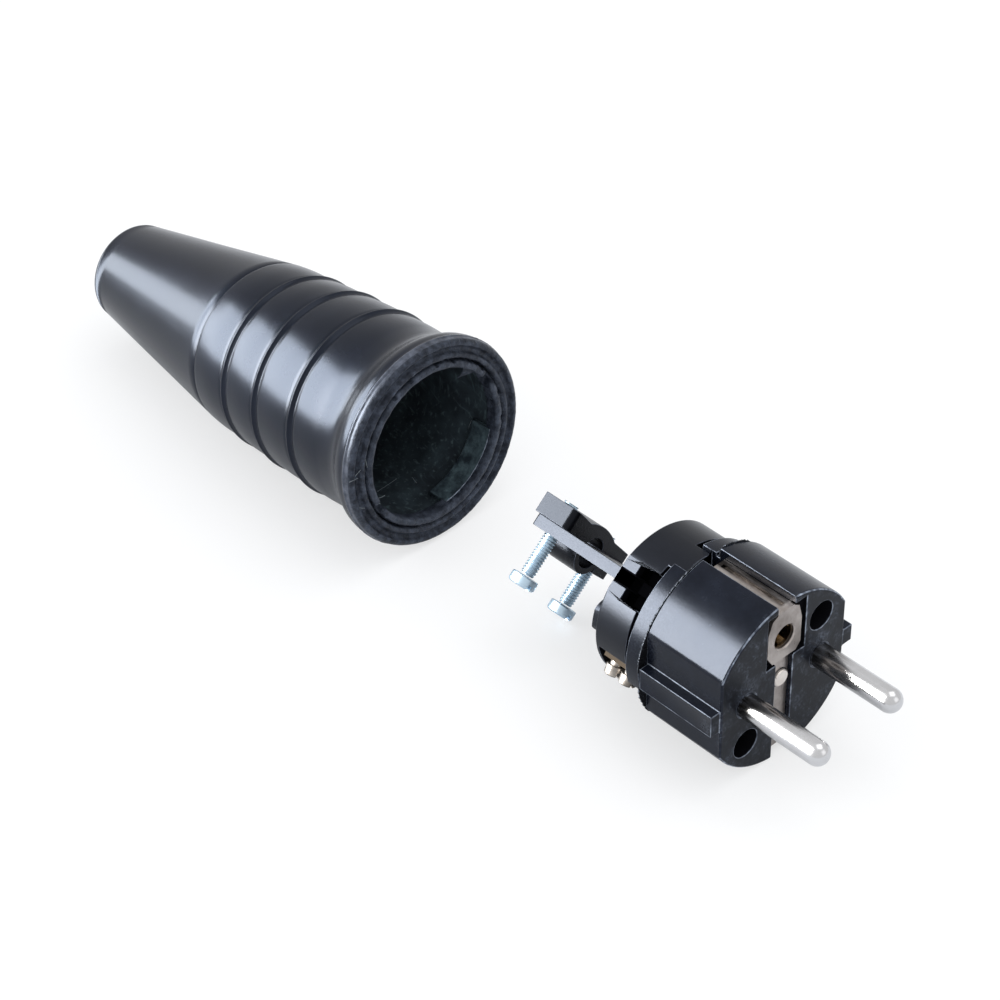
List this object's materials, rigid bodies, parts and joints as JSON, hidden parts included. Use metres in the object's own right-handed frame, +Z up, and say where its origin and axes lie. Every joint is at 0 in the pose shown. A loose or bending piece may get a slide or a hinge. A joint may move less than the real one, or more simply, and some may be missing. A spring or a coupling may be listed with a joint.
{
  "type": "rubber electric plug",
  "caption": "Heavy-duty rewirable rubber power plug, opened: ribbed cone sleeve with its mouth open, and the round-pin contact insert with earth contacts and cord clamp in front of it.",
  "frame": {"origin": "centre of the engagement face of the insert, halfway between the two contact pins", "axes": "+X out along the contact pins, away from the sleeve; +Z up; the sleeve's mouth faces +X behind the insert, and both pieces stand on one level floor below"},
  "size_m": [0.2099, 0.0446, 0.0446],
  "materials": {
    "sleeve_rubber": "semi-gloss with dusty streaks",
    "body_moulding": "satin moulded rubber",
    "cover_moulding": "satin",
    "clamp_moulding": "satin, slightly grained",
    "nickel_plate": "nickel-plated sheet",
    "rivet_metal": "nickel-plated",
    "socket_brass": "bare spring brass",
    "terminal_brass": "bare brass",
    "nickel_pin": "nickel-plated, polished",
    "zinc_screw": "blue zinc plating"
  },
  "bodies": {
    "root": {"rubber_sleeve": "sleeve_rubber", "front_body": "body_moulding", "rear_cover": "cover_moulding", "earth_upper_strip": "nickel_plate", "earth_lower_strip": "nickel_plate", "earth_rivet": "rivet_metal", "earth_socket": "socket_brass", "earth_terminal": "terminal_brass", "earth_terminal_screw": "zinc_screw", "clamp_arm": "clamp_moulding", "clamp_jaw": "clamp_moulding", "clamp_screw_near": "zinc_screw", "clamp_screw_far": "zinc_screw", "pin_near": "nickel_pin", "pin_far": "nickel_pin", "body_screw_near": "zinc_screw", "body_screw_far": "zinc_screw", "terminal_screw_near_front": "zinc_screw", "terminal_screw_near_rear": "zinc_screw", "terminal_screw_far_front": "zinc_screw", "terminal_screw_far_rear": "zinc_screw"}
  },
  "joints": []
}
